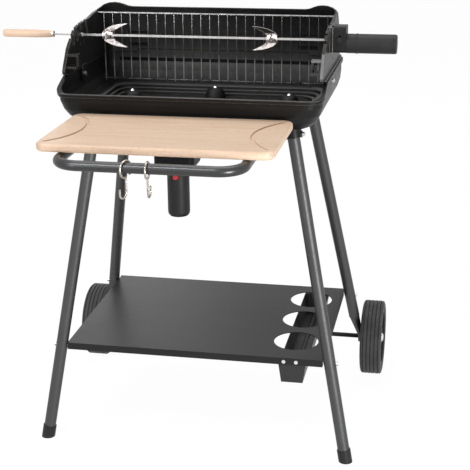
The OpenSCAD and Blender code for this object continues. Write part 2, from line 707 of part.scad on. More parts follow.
module shelf_bolts() place() color(bright) union()
  for (s = [-1, 1], p = [front_at(shelf_bolt_z), rear_at(shelf_bolt_z)])
  side(s) translate([0, p[1], p[2]]) {
    x_cyl(bolt_d, shelf_half_x - shelf_t - 6, p[0] + head_face + eps);
    x_cyl(head_d, p[0] + head_face, p[0] + head_face + head_h);
    x_cyl(head_d, shelf_half_x - shelf_t - seat - 4, shelf_half_x - shelf_t - seat, 6);
  }

// Bottle rack: a folded channel with end plates screwed behind the shelf's folded edge.
rack_top = shelf_top - shelf_flange;
function rack_outline(t) = [
  [-rack_top_w / 2 + t, rack_top], [-rack_floor_w / 2 + t, rack_floor + t],
  [rack_floor_w / 2 - t, rack_floor + t], [rack_top_w / 2 - t, rack_top]];
module bottle_rack() place() color(black) translate([bottle_x + rack_right, 0, 0]) difference() {
  union() {
    y_sheet(rack_len[0], rack_len[1]) polygon(concat(rack_outline(0), turned(rack_outline(rack_t))));
    for (y = [rack_len[0], rack_len[1] - rack_t]) y_sheet(y, y + rack_t)
      polygon(concat(rack_outline(0),
        [[rack_top_w / 2 - 4, shelf_top - shelf_t - 1], [4 - rack_top_w / 2, shelf_top - shelf_t - 1]]));
  }
  for (k = [-1, 1]) translate([k * rack_screw_x - rack_right, 0, shelf_bolt_z])
    y_cyl(screw_d + 2 * slip, -reach, reach);
}
module rack_screws() place() color(bright) union() for (k = [-1, 1])
translate([bottle_x + k * rack_screw_x, 0, shelf_bolt_z]) {
  y_cyl(8, -shelf_front - seat - 2.5, -shelf_front - seat);
  y_cyl(screw_d, -shelf_front - seat, rack_len[0] + rack_t + 3);
  y_cyl(8, shelf_back + seat, shelf_back + seat + 2.5);
  y_cyl(screw_d, rack_len[1] - rack_t - 3, shelf_back + seat);
}

// Rail: a bent tube whose arms are pressed flat and bolted to the front sockets.
rail_wall = 1.5;
tab_h = 14;
arm_end = 232;
tab_front = 192;
tab_back = 155;
tab_x = front_at(front_bolt_z)[0] - pad_half - seat - tab_t / 2;
module rail_tube(len) difference() {
  cylinder(d = rail_d, h = len, $fn = mid);
  translate([0, 0, -eps]) cylinder(d = rail_d - 2 * rail_wall, h = len + 2 * eps, $fn = mid);
}
module rail_arm(arm_x) {
  translate([arm_x - rail_bend, rail_bend - rail_front, rail_z]) rotate([0, 0, -90])
    rotate_extrude(angle = 90, $fn = fine) translate([rail_bend, 0]) difference() {
      circle(d = rail_d, $fn = mid);
      circle(d = rail_d - 2 * rail_wall, $fn = mid);
    }
  translate([arm_x, rail_bend - rail_front, rail_z]) rotate([-90, 0, 0])
    rail_tube(rail_front - rail_bend - arm_end);
  difference() {
    union() {
      hull() {
        translate([arm_x, 0, rail_z]) y_cyl(rail_d - rail_wall, -arm_end - 2, -arm_end + 1);
        translate([tab_x, -tab_front, front_bolt_z]) cube([tab_t, 2, tab_h], center = true);
      }
      box([tab_x - tab_t / 2, -tab_front, front_bolt_z - tab_h / 2],
        [tab_x + tab_t / 2, -tab_back, front_bolt_z + tab_h / 2]);
    }
    translate(front_at(front_bolt_z)) x_cyl(bolt_d + 2 * slip, -3 * pad_half, 0);
  }
}
module board_rail() place() color(grey) union() {
  translate([rail_bend - rail_half_x - board_left, -rail_front, rail_z]) rotate([0, 90, 0])
    rail_tube(2 * (rail_half_x - rail_bend));
  for (s = [-1, 1]) side(s) rail_arm(rail_half_x - s * board_left);
}

// Board: rounded slab with a bowed groove at each end.
board_z = rail_z + rail_d / 2 + seat;
board_top = board_z + board_t;
board_mid = -(board_front + board_back) / 2;
board_edge = 4;
groove_in = 22;
bow_r = 150;
bow_x = 163;
groove_half = (board_front - board_back) / 2 - groove_in;
function board_ring(a, z) =
  let (t = board_edge * (1 - sin(a)))
  ring(board_half_x - t, t - board_front, -board_back - t, board_corner - t, z, 8);
module serving_board() place() color(wood) translate([-board_left, 0, 0]) difference() {
  loft(concat(
    [for (a = [0:30:90]) board_ring(a, board_z + board_edge * (1 - cos(a)))],
    [for (a = [90:-30:0]) board_ring(a, board_top - board_edge * (1 - cos(a)))]));
  for (s = [-1, 1]) intersection() {
    translate([s * (bow_x + bow_r), board_mid, board_top - groove_depth]) difference() {
      cylinder(r = bow_r + groove_w / 2, h = 2 * groove_depth, $fn = 96);
      translate([0, 0, -eps]) cylinder(r = bow_r - groove_w / 2, h = 4 * groove_depth, $fn = 96);
    }
    translate([s * board_half_x / 2, board_mid, board_top])
      cube([board_half_x, 2 * groove_half + groove_w, 4 * groove_depth], center = true);
  }
}

// Utensil hooks: an open ring over the rail, a straight shank and a bend below.
hook_lower = 9;
hook_r = (hook_ring + hook_wire) / 2;
shank_d = hook_wire * 0.9;
hook_hang = (hook_ring - rail_d) / 2 - seat;
module hook(x, turn, hang) place() color(bright)
  translate([x, -rail_front, rail_z - hang]) rotate([0, 0, turn]) rotate([90, 0, 90]) union() {
    rotate([0, 0, -90]) rotate_extrude(angle = 320, $fn = fine)
      translate([hook_r, 0]) circle(d = hook_wire, $fn = wire_fn);
    translate([0, -hook_drop, 0]) rotate([-90, 0, 0])
      cylinder(d = shank_d, h = hook_drop - hook_r, $fn = wire_fn);
    translate([hook_lower, -hook_drop, 0]) rotate([0, 0, 180]) rotate_extrude(angle = 180, $fn = fine)
      translate([hook_lower, 0]) circle(d = shank_d, $fn = wire_fn);
    translate([2 * hook_lower, -hook_drop, 0]) rotate([-90, 0, 0])
      cylinder(d = shank_d, h = 9, $fn = wire_fn);
  }
module hook_left() hook(-40.5, 157, hook_hang - 0.6);
module hook_right() hook(-1.2, 0, hook_hang);

// Spit: square bar with round journals, wooden handle, ferrule and two sliding forks.
tang = 70;
ferrule_len = 5;
ferrule_d = 13;
spit_end = gear_x0 + 14;
fork_fit = 0.2;
fork_hub_d = 17;
module on_spit() place() translate([0, -spit_front, spit_z]) children();
module bar(x0, x1, fit) translate([x0, -bar_w / 2 - fit, -bar_w / 2 - fit])
  cube([x1 - x0, bar_w + 2 * fit, bar_w + 2 * fit]);
module spit_rod() on_spit() color(bright) union() {
  bar(-handle_x - tang, spit_end, 0);
  for (s = [-1, 1]) side(s) x_cyl(journal_d, cheek_half_x - back_wall - 3, cheek_half_x + 3);
}
handle_pts = [
  [0, 0], [0.36, 0], [0.46, 1.5], [0.5, 5], [0.5, handle_len * 0.7], [0.44, handle_len - 5],
  [0.4, handle_len], [0, handle_len]];
module spit_handle() on_spit() color(wood) difference() {
  translate([-spit_left, 0, 0]) rotate([0, 90, 0]) rotate_extrude($fn = fine)
    polygon([for (p = handle_pts) [p[0] * handle_d, p[1]]]);
  bar(-handle_x - tang - seat, 0, slip);
}
module handle_ferrule() on_spit() color(bright) difference() {
  x_cyl(ferrule_d, seat - handle_x, seat + ferrule_len - handle_x);
  bar(-handle_x - eps, 0, slip);
}

// One prong as fractions of the hub length past its outer end and of the half spread.
prong = [[-0.5, 0.25], [-0.4, 0.42], [-0.15, 0.6], [0.3, 0.79], [0.8, 0.93], [1.3, 1]];
function fork_x(f) = f <= 0.5 ? f * fork_hub : fork_hub / 2 + (f - 0.5) * fork_reach;
prong_outer = concat(
  [for (p = prong) [fork_x(p[0]), p[1] * fork_half]], [[fork_hub / 2 + fork_reach, fork_half]]);
prong_inner = [
  [fork_hub / 2 + fork_reach - 3, fork_half * 0.95], [fork_x(1), fork_half * 0.72],
  [fork_x(0.65), fork_half * 0.5], [fork_x(0.5), fork_half * 0.3]];
prong_pts = concat(prong_outer, prong_inner, [[fork_hub / 2, -0.5], [-fork_hub / 2, -0.5]]);
module fork() color(bright) difference() {
  union() {
    x_cyl(fork_hub_d, -fork_hub / 2, fork_hub / 2);
    y_sheet(-fork_t / 2, fork_t / 2) polygon(prong_pts);
    mirror([0, 0, 1]) y_sheet(-fork_t / 2, fork_t / 2) polygon(prong_pts);
  }
  bar(-fork_hub, fork_hub, fork_fit);
  y_cyl(screw_d + 2 * run, -fork_hub_d, 0);
}
module fork_left() on_spit() translate([-fork_left_x, 0, 0]) fork();
module fork_right() on_spit() translate([fork_right_x, 0, 0]) mirror([1, 0, 0]) fork();
module fork_screw() color(bright) union() {
  y_cyl(screw_d, -fork_hub_d / 2 - 2 * seat, -bar_w / 2 - 0.4);
  y_cyl(7.5, -fork_hub_d / 2 - seat - 5, -fork_hub_d / 2 - seat);
  box([-1.5, -fork_hub_d / 2 - seat - 11, -7], [1.5, -fork_hub_d / 2 - seat - 3, 7]);
}
module fork_screw_left() on_spit() translate([-fork_left_x, 0, 0]) fork_screw();
module fork_screw_right() on_spit() translate([fork_right_x, 0, 0]) fork_screw();

// Spit motor: bracket on the right cheek, gearbox, round housing with one cell.
plate = 2;
gear_low = -23;
gear_high = gear_low + gearbox_h;
motor_drop = -6;
gear_teeth = 30;
pinion_teeth = 10;
gear_c = gear_module * (gear_teeth + pinion_teeth) / 2;
gear_face = [gear_x0 + 4, gear_x0 + 12];
pinion_shaft = 2.4;
bracket_x = cheek_half_x + seat;
switch_x = gear_x0 + 13;
switch_w = 5;
switch_h = 7;
switch_travel = 4.5;
module motor_bracket() on_spit() color(black) difference() {
  union() {
    box([bracket_x, -gearbox_depth / 2, gear_low], [bracket_x + plate, gearbox_depth / 2, gear_high - 2]);
    for (y = [-gearbox_depth / 2, gearbox_depth / 2 - plate])
      box([bracket_x, y, gear_low], [gear_x0 - seat, y + plate, gear_high - 2]);
  }
  x_cyl(journal_d + 4, bracket_x - eps, bracket_x + plate + eps);
  for (y = [-1, 1]) translate([0, y * bracket_screw, bracket_screw_z - spit_z])
    x_cyl(screw_d + 2 * slip, bracket_x - eps, bracket_x + plate + eps);
}
module bracket_screws() on_spit() color(bright) union() for (y = [-1, 1])
  translate([0, y * bracket_screw, bracket_screw_z - spit_z]) {
    x_cyl(screw_d, cheek_half_x - back_wall - 5, bracket_x + plate + seat);
    x_cyl(7.5, bracket_x + plate + seat, bracket_x + plate + seat + 2);
    x_cyl(7.5, cheek_half_x - back_wall - seat - 3, cheek_half_x - back_wall - seat, 6);
  }
function case_pts(in, r) =
  rounded(in - gearbox_depth / 2, gearbox_depth / 2 - in, gear_low + in, gear_high - in, r, 4);
module gearbox_case() on_spit() color(black) difference() {
  x_sheet(gear_x0, gear_x0 + gearbox_w) polygon(case_pts(0, 6));
  x_sheet(gear_x0 + shell_wall, gear_x0 + gearbox_w - shell_wall) polygon(case_pts(shell_wall, 4.5));
  x_cyl(bar_w * 1.62, gear_x0 - eps, gear_x0 + shell_wall + eps);
  translate([0, 0, -gear_c])
    x_cyl(pinion_shaft + 1.6, gear_x0 + gearbox_w - 2 * shell_wall, gear_x0 + gearbox_w + eps);
  box([switch_x - switch_w / 2 - seat, -gearbox_depth, -seat],
    [switch_x + switch_w / 2 + seat, 0, switch_h + switch_travel + seat]);
}
module motor_switch() on_spit() color(black) translate([switch_x, -gearbox_depth / 2, 0]) union() {
  box([-switch_w / 2, -seat - eps, 0], [switch_w / 2, shell_wall + seat + eps, switch_h]);
  box([-switch_w / 2 - 2, -seat - 2, -1.5], [switch_w / 2 + 2, -seat, switch_h + 1.5]);
  box([-switch_w / 2 - 2, shell_wall + seat, -1.5],
    [switch_w / 2 + 2, shell_wall + seat + 1.4, switch_h + 1.5]);
}
// Gear outline: narrow flat-sided teeth, with slack for a plastic drive.
function gear_pts(z, phase) = [
  for (i = [0:z - 1], q = [[-0.27, -1.15], [-0.12, 0.8], [0.12, 0.8], [0.27, -1.15]])
    let (a = (i + q[0]) * 360 / z + phase, r = gear_module * (z / 2 + q[1])) [r * cos(a), r * sin(a)]];
module drive_gear() on_spit() color(wood) difference() {
  union() {
    x_sheet(gear_face[0], gear_face[1]) polygon(gear_pts(gear_teeth, 0));
    x_cyl(13, gear_x0 + shell_wall + seat, spit_end);
  }
  bar(gear_x0, spit_end + eps, slip);
}
module drive_pinion() on_spit() color(wood) translate([0, 0, -gear_c]) difference() {
  x_sheet(gear_face[0], gear_face[1]) polygon(gear_pts(pinion_teeth, 180 / pinion_teeth));
  x_cyl(pinion_shaft + 2 * run, gear_x0, spit_end);
}
bore_r = motor_d / 2 - shell_wall;
drive_d = 2 * (bore_r - seat - gear_c - motor_drop);
drive_len = 27.5;
cell_len = 61.5;
cell_x0 = motor_x0 + drive_len + 2;
module gear_motor() on_spit() color(bright) translate([0, 0, -gear_c]) union() {
  x_cyl(drive_d, motor_x0 + seat, motor_x0 + drive_len);
  x_cyl(pinion_shaft, gear_face[0] - eps, motor_x0 + 1);
}
module motor_case() on_spit() color(black) translate([0, 0, motor_drop]) difference() {
  union() {
    x_cyl(motor_d, motor_x0, motor_x0 + motor_len, 64);
    x_cyl(motor_d + 1.6, motor_x0 + 19, motor_x0 + 22, 64);
  }
  x_cyl(2 * bore_r, motor_x0 - eps, motor_x0 + motor_len + eps, 64);
}
module motor_battery() on_spit() color(bright)
  translate([0, 0, motor_drop - bore_r + cell_d / 2 + seat]) union() {
    x_cyl(cell_d, cell_x0, cell_x0 + cell_len);
    x_cyl(9, cell_x0 - 1.5, cell_x0 + 1);
  }
spigot = cell_x0 + cell_len + seat - motor_x0 - motor_len;
module motor_end_cap() on_spit() color(black) translate([motor_x0 + motor_len, 0, motor_drop])
  rotate([0, 90, 0]) rotate_extrude($fn = 64) polygon([
    [0, spigot], [bore_r - 0.2, spigot], [bore_r - 0.2, seat], [motor_d / 2, seat],
    [motor_d / 2, cap_len - 2], [motor_d / 2 - 2, seat + cap_len], [0, seat + cap_len]]);

// Blower: a duct under the bowl's air slots with a fan, and a grip with three cells.
duct_wall = 2;
duct_top = bowl_bottom - seat;
lip_t = 3;
lip_half = duct_w / 2 + duct_lip;
fan_z = bowl_bottom - 43;
fan_shaft = 3;
button_z = duct_bottom - 13.5;
button_travel = 2.5;
grip_wall = 1.8;
aa_d = 14.2;
aa_len = 50;
aa_r = 9.5;
grip_floor = 6;
module on_blower(z = 0) place() translate([-blower_left, -blower_front, z]) children();
function duct_ring(h, r, z) = [for (p = rounded(-h, h, -h, h, r, 6)) [p[0], p[1], z]];
function duct_rings(in) = [
  duct_ring(grip_d / 2 + 3 - in, grip_d / 2 + 2 - in, duct_bottom + in),
  duct_ring(duct_w * 0.42 - in, duct_w * 0.24 - in / 2, duct_bottom + 5 + in / 2),
  duct_ring(duct_w * 0.48 - in, duct_w * 0.17 - in / 2, duct_bottom + 10),
  duct_ring(duct_w / 2 - in, duct_w * 0.14 - in / 2, duct_bottom + 17),
  duct_ring(duct_w / 2 - in, duct_w * 0.14 - in / 2, duct_top + in)];
module blower_duct() on_blower() color(black) difference() {
  union() {
    loft(duct_rings(0));
    translate([0, 0, duct_top - lip_t]) linear_extrude(lip_t)
      polygon(rounded(-lip_half, lip_half, -lip_half, lip_half, 14, 6));
  }
  loft(duct_rings(duct_wall));
  translate([0, 0, duct_bottom - eps]) cylinder(d = 12, h = 2 * duct_wall, $fn = mid);
  for (k = [-1:1]) box([-duct_w, k * 18 - 3, duct_bottom + 32], [duct_w, k * 18 + 3, duct_bottom + 56]);
  for (x = [-1, 1], y = [-1, 1]) translate([x * duct_screw, y * duct_screw, duct_top - 2 * lip_t])
    cylinder(d = screw_d + 2 * slip, h = 4 * lip_t, $fn = mid);
}
module duct_screws() on_blower() color(bright) union() for (x = [-1, 1], y = [-1, 1])
  translate([x * duct_screw, y * duct_screw, duct_top - lip_t - seat]) {
    cylinder(d = screw_d, h = lip_t + bowl_wall - 1, $fn = mid);
    translate([0, 0, -2.5]) cylinder(d = 7.5, h = 2.5, $fn = mid);
  }
grip_h = duct_bottom - seat - grip_bottom;
module blower_grip() on_blower(grip_bottom) color(black) difference() {
  rotate_extrude($fn = 64) polygon([
    [0, 0], [grip_d / 2 - 9, 0], [grip_d / 2 - 4, 1.5], [grip_d / 2 - 1.2, 5], [grip_d / 2, 10],
    [grip_d / 2, grip_h], [0, grip_h]]);
  rotate_extrude($fn = 64) polygon([
    [0, grip_floor], [grip_d / 2 - 5.5, grip_floor], [grip_d / 2 - 3, grip_floor + 4],
    [grip_d / 2 - grip_wall, grip_floor + 8], [grip_d / 2 - grip_wall, grip_h + eps], [0, grip_h + eps]]);
  translate([0, 0, button_z - grip_bottom]) y_cyl(button_d + 0.8, -grip_d, 0);
}
flange_y = sqrt(pow(grip_d / 2 - grip_wall, 2) - pow(button_d / 2 + 1.5, 2)) - seat;
module blower_button() on_blower(button_z) color([0.75, 0.06, 0.05]) union() {
  y_cyl(button_d, -grip_d / 2 - 2.5, 1 - flange_y);
  y_cyl(button_d - 3, -grip_d / 2 - 3.5, -grip_d / 2);
  y_cyl(button_d + 3, -flange_y, 2.5 - flange_y);
}
module blower_fan() on_blower(fan_z) color(grey) difference() {
  union() {
    translate([0, 0, -6]) cylinder(d = 16, h = 12, $fn = mid);
    for (i = [0:5]) rotate([0, 0, i * 60]) rotate([50, 0, 0])
      translate([5, -1, -7]) cube([fan_d / 2 - 5, 2, 14]);
  }
  translate([0, 0, -9]) cylinder(d = fan_shaft + 2 * run, h = 18, $fn = mid);
}
module blower_motor() on_blower(fan_z) color(bright) union() {
  translate([0, 0, -44]) cylinder(d = 26, h = 36, $fn = mid);
  translate([0, 0, -9]) cylinder(d = fan_shaft, h = 14, $fn = mid);
  for (a = [0, 90]) rotate([0, 0, a])
    box([seat + duct_wall - duct_w / 2, -4, -30], [duct_w / 2 - duct_wall - seat, 4, -26]);
}
module blower_batteries() on_blower(grip_bottom + grip_floor + seat) color(bright) union()
  for (i = [0:2]) rotate([0, 0, i * 120 + 30]) translate([aa_r, 0, 0]) {
    cylinder(d = aa_d, h = aa_len, $fn = mid);
    cylinder(d = 5.5, h = aa_len + 1.5, $fn = mid);
  }

fire_bowl();
fire_back();
charcoal_grid();
bowl_bolts();
front_leg_left();
front_leg_right();
rear_leg_left();
rear_leg_right();
leg_bolts();
leg_nuts();
foot_cap_left();
foot_cap_right();
axle();
wheel_left();
wheel_right();
tyre_left();
tyre_right();
axle_caps();
lower_shelf();
bottle_rack();
rack_screws();
shelf_bolts();
board_rail();
serving_board();
hook_left();
hook_right();
spit_rod();
spit_handle();
handle_ferrule();
fork_left();
fork_right();
fork_screw_left();
fork_screw_right();
motor_bracket();
bracket_screws();
gearbox_case();
motor_case();
motor_end_cap();
motor_switch();
drive_gear();
drive_pinion();
gear_motor();
motor_battery();
blower_duct();
duct_screws();
blower_grip();
blower_button();
blower_fan();
blower_motor();
blower_batteries();
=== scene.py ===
# Looks of the charcoal barbecue with a battery spit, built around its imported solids.
import json
import math

import bmesh
import bpy
from mathutils import Matrix, Vector


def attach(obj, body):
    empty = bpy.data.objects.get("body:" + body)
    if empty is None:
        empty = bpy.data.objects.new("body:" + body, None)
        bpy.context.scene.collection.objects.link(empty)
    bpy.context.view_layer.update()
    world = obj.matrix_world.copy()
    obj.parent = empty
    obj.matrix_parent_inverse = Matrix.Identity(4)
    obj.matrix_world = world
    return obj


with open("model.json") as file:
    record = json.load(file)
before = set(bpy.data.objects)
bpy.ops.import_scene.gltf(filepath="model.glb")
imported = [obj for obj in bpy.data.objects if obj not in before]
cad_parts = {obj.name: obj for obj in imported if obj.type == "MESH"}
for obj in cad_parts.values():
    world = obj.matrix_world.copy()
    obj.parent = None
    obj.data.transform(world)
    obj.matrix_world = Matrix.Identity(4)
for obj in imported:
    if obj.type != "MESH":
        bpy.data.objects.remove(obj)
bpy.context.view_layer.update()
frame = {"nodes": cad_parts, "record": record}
nodes = frame["nodes"]

MM_PER_M = 1000
# Place of the bowl's middle in the part's frame, metres
SHIFT = Vector((0.01635, 0.098975, 0.0))


def at(x, y, z):
    """A point given in millimetres about the bowl's middle, in the part's frame in metres."""
    return Vector((x, y, z)) / MM_PER_M + SHIFT


# Camera, solved from the straight lines of the photograph
FOCAL_PX = 1211.93
IMAGE_PX = 470
SENSOR_MM = 36
FARTHEST_M = 50
FORWARD = Vector((-0.18517, 0.92922, -0.31979)).normalized()
ROLL = math.radians(-0.62)
EYE_MM = (546.9, -2482.4, 1267.6)


def add_camera():
    """The photograph's own view."""
    right = FORWARD.cross(Vector((0, 0, 1))).normalized()
    up = right.cross(FORWARD)
    right, up = (math.cos(ROLL) * right + math.sin(ROLL) * up,
                 math.cos(ROLL) * up - math.sin(ROLL) * right)
    data = bpy.data.cameras.new("camera")
    data.sensor_width = SENSOR_MM
    data.lens = SENSOR_MM * FOCAL_PX / IMAGE_PX
    data.clip_end = FARTHEST_M
    cam = bpy.data.objects.new("camera", data)
    bpy.context.scene.collection.objects.link(cam)
    turn = Matrix((right, up, -FORWARD)).transposed()
    cam.matrix_world = Matrix.Translation(at(*EYE_MM)) @ turn.to_4x4()
    bpy.context.scene.camera = cam


# Range in which most of a noise's values lie
NOISE_RANGE = (0.3, 0.7)
# Sockets of a Mix node that mixes colours
MIX_SHARE, MIX_A, MIX_B, MIX_RESULT = 0, 6, 7, 2
BEVEL_SAMPLES = 4
CREVICE_SAMPLES = 6


class Mat:
    """A node material with short ways to add and join nodes."""

    def __init__(self, name):
        self.mat = bpy.data.materials.new(name)
        self.mat.use_nodes = True
        self.tree = self.mat.node_tree
        self.shader = self.tree.nodes["Principled BSDF"]
        self.coords = self.tree.nodes.new("ShaderNodeTexCoord").outputs["Object"]

    def new(self, kind, **values):
        node = self.tree.nodes.new(kind)
        for key, value in values.items():
            setattr(node, key, value)
        return node

    def join(self, a, b):
        self.tree.links.new(a, b)

    def set(self, **values):
        for key, value in values.items():
            socket = self.shader.inputs[key.replace("_", " ")]
            socket.default_value = value
        return self

    def stretched(self, scale, vector=None):
        """Coordinates scaled by one factor for each axis, so that a noise on them is drawn out."""
        node = self.new("ShaderNodeMapping")
        node.inputs["Scale"].default_value = scale
        self.join(vector or self.coords, node.inputs["Vector"])
        return node.outputs["Vector"]

    def noise(self, scale, detail=3.0, rough=0.55, vector=None):
        node = self.new("ShaderNodeTexNoise")
        node.inputs["Scale"].default_value = scale
        node.inputs["Detail"].default_value = detail
        node.inputs["Roughness"].default_value = rough
        self.join(vector or self.coords, node.inputs["Vector"])
        return node.outputs["Fac"]

    def ramp(self, fac, stops):
        """Colours between stops, each (place, colour)."""
        node = self.new("ShaderNodeValToRGB")
        elements = node.color_ramp.elements
        while len(elements) < len(stops):
            elements.new(0.5)
        for element, (place, colour) in zip(elements, stops):
            element.position = place
            element.color = (*colour, 1)
        self.join(fac, node.inputs["Fac"])
        return node.outputs["Color"]

    def span(self, fac, low, high, a=0.0, b=1.0):
        """The range a to b mapped onto low to high, and held there outside it."""
        node = self.new("ShaderNodeMapRange")
        node.inputs["From Min"].default_value = a
        node.inputs["From Max"].default_value = b
        node.inputs["To Min"].default_value = low
        node.inputs["To Max"].default_value = high
        self.join(fac, node.inputs["Value"])
        return node.outputs["Result"]

    def math(self, op, a, b=0.0):
        node = self.new("ShaderNodeMath", operation=op)
        for socket, value in zip(node.inputs, (a, b)):
            if isinstance(value, (int, float)):
                socket.default_value = value
            else:
                self.join(value, socket)
        return node.outputs[0]

    def mix(self, fac, a, b, mode="MIX"):
        node = self.new("ShaderNodeMix", data_type="RGBA", blend_type=mode)
        for index, value in zip((MIX_SHARE, MIX_A, MIX_B), (fac, a, b)):
            socket = node.inputs[index]
            if isinstance(value, (int, float)):
                socket.default_value = value
            elif isinstance(value, tuple):
                socket.default_value = (*value, 1)
            else:
                self.join(value, socket)
        return node.outputs[MIX_RESULT]

    def vector(self, op, a, b=None):
        node = self.new("ShaderNodeVectorMath", operation=op)
        for socket, value in zip(node.inputs, (a, b)):
            if isinstance(value, tuple):
                socket.default_value = value
            elif value is not None:
                self.join(value, socket)
        return node.outputs["Value" if op in ("DOT_PRODUCT", "LENGTH") else "Vector"]

    def part(self, axis):
        """One coordinate of the piece's own frame, in metres."""
        node = self.new("ShaderNodeSeparateXYZ")
        self.join(self.coords, node.inputs[0])
        return node.outputs[axis]

    def facing(self, axis):
        """How far a face looks along one axis, -1 to 1."""
        node = self.new("ShaderNodeSeparateXYZ")
        self.join(self.new("ShaderNodeNewGeometry").outputs["Normal"], node.inputs[0])
        return node.outputs[axis]

    def corners(self, radius):
        """0 on plain faces, rising to 1 at edges sharper than the radius."""
        soft = self.new("ShaderNodeBevel", samples=BEVEL_SAMPLES)
        soft.inputs["Radius"].default_value = radius
        true = self.new("ShaderNodeNewGeometry").outputs["Normal"]
        same = self.vector("DOT_PRODUCT", soft.outputs["Normal"], true)
        return self.span(same, 1.0, 0.0, 0.75, 0.99)

    def crevices(self, reach):
        """1 in the open, falling to 0 in slots and corners narrower than the reach."""
        node = self.new("ShaderNodeAmbientOcclusion", samples=CREVICE_SAMPLES)
        node.inputs["Distance"].default_value = reach
        return self.span(node.outputs["AO"], 0.0, 1.0, 0.45, 0.85)

    def window(self, value, low, high, soft=0.0004):
        """1 where the value lies between low and high, else 0."""
        return self.math("MULTIPLY", self.span(value, 0.0, 1.0, low - soft, low + soft),
                         self.span(value, 1.0, 0.0, high - soft, high + soft))

    def colour(self, socket):
        self.join(socket, self.shader.inputs["Base Color"])

    def rough(self, socket):
        self.join(socket, self.shader.inputs["Roughness"])

    def bump(self, *heights, edge=0.0):
        """Chained bumps, each (height socket, strength, distance in metres); edge softens corners."""
        last = None
        if edge:
            soft = self.new("ShaderNodeBevel", samples=BEVEL_SAMPLES)
            soft.inputs["Radius"].default_value = edge
            last = soft.outputs["Normal"]
        for height, strength, distance in heights:
            node = self.new("ShaderNodeBump")
            node.inputs["Strength"].default_value = strength
            node.inputs["Distance"].default_value = distance
            self.join(height, node.inputs["Height"])
            if last:
                self.join(last, node.inputs["Normal"])
            last = node.outputs["Normal"]
        self.join(last, self.shader.inputs["Normal"])


# Tones
PAINTED_SHADE = (0.003, 0.003, 0.003)
DUST_AND_PAINTED_LIGHT = (0.35, 0.35, 0.35)
LEDGE_ASH_AND_HIGHLIGHT = (0.21, 0.21, 0.208)
WORN_ENAMEL_AND_HIGHLIGHT = (0.2, 0.182, 0.17)
CHEEK_HIGHLIGHT_TONE = (0.15, 0.146, 0.143)
BARE_STEEL_AND_HIGHLIGHT = (0.6, 0.57, 0.55)
FORK_BRIGHT = (0.84, 0.8, 0.795)
FORK_PITS = (0.1, 0.075, 0.07)
TINE_SOOT = (0.012, 0.011, 0.01)
TINE_EDGE = (0.5, 0.45, 0.37)
BEAD_HIGHLIGHT = (0.09, 0.09, 0.092)
BEECH_FLECK = (0.42, 0.25, 0.14)
BEECH_GROOVE_SHADE = (0.6, 0.44, 0.31)

# Middle of the fire and the spit's axis, metres
FIRE_MIDDLE = tuple(at(0, -60, 800))
SPIT_AXIS = tuple(at(0, -58, 858))
# Painted shade at the back, in the vent slots and in a dark band standing for the shaded gap under the
# fire-back: range across from the middle, and range of height, millimetres
SHADED_VENTS = [
    ((-238, 214), (768, 775.5)),
    ((-215, -170), (802, 810)),
    ((170, 215), (802, 810)),
    ((-215, -170), (831, 835)),
    ((170, 215), (831, 835)),
]
# Heights over which the pale inside tone of the bowl (ash and painted light) changes, metres
ASH_AND_LIGHT_Z = (0.7, 0.81)
# Heights between which the tops of the steps in the bowl's floor get pale ash and a painted highlight, and
# where it fades at the left, metres
LEDGES = (0.7045, 0.7235)
LEDGES_FADE = (-0.2, -0.11)
# Where a painted highlight lies on the right cheek's front edge and on the top of its ledge, metres
CHEEK_LIGHT_X = (at(238, 0, 0).x, at(275, 0, 0).x)
CHEEK_LIGHT_Z = (0.78, 0.845)
CHEEK_LIGHT_END = (at(0, -30, 0).y, at(0, -10, 0).y)
CHEEK_LIGHT_EDGE = (at(251, 0, 0).x, at(256, 0, 0).x)
CHEEK_LIGHT_LEDGE = (0.826, 0.832)
# Heights over which the painted reflection on the grid changes, metres
GRID_Z = (0.72, 0.92)
# Both faces of the left cheek, where the spit's bar goes from dull to bright, metres
CHEEK_LEFT = (at(-262, 0, 0).x, at(-252, 0, 0).x)
# Distance from the spit's axis over which the pits of a fork fade, and where a sooty tine begins, metres
HUB_FADE = (0.009, 0.018)
TINE_START = (SPIT_AXIS[2] + 0.008, SPIT_AXIS[2] + 0.012)
# Middle of the rack, in millimetres from the bowl's middle and in the part's frame
RACK_MIDDLE_MM = 211
RACK_MIDDLE = at(RACK_MIDDLE_MM, 0, 0).x
# Painted shade beside the rack's bead, nearest, farthest and softness, and where the back end begins, metres
BEAD_SHADE = (0.004, 0.0065, 0.001)
RACK_BACK = (at(0, 150, 0).y, at(0, 160, 0).y)


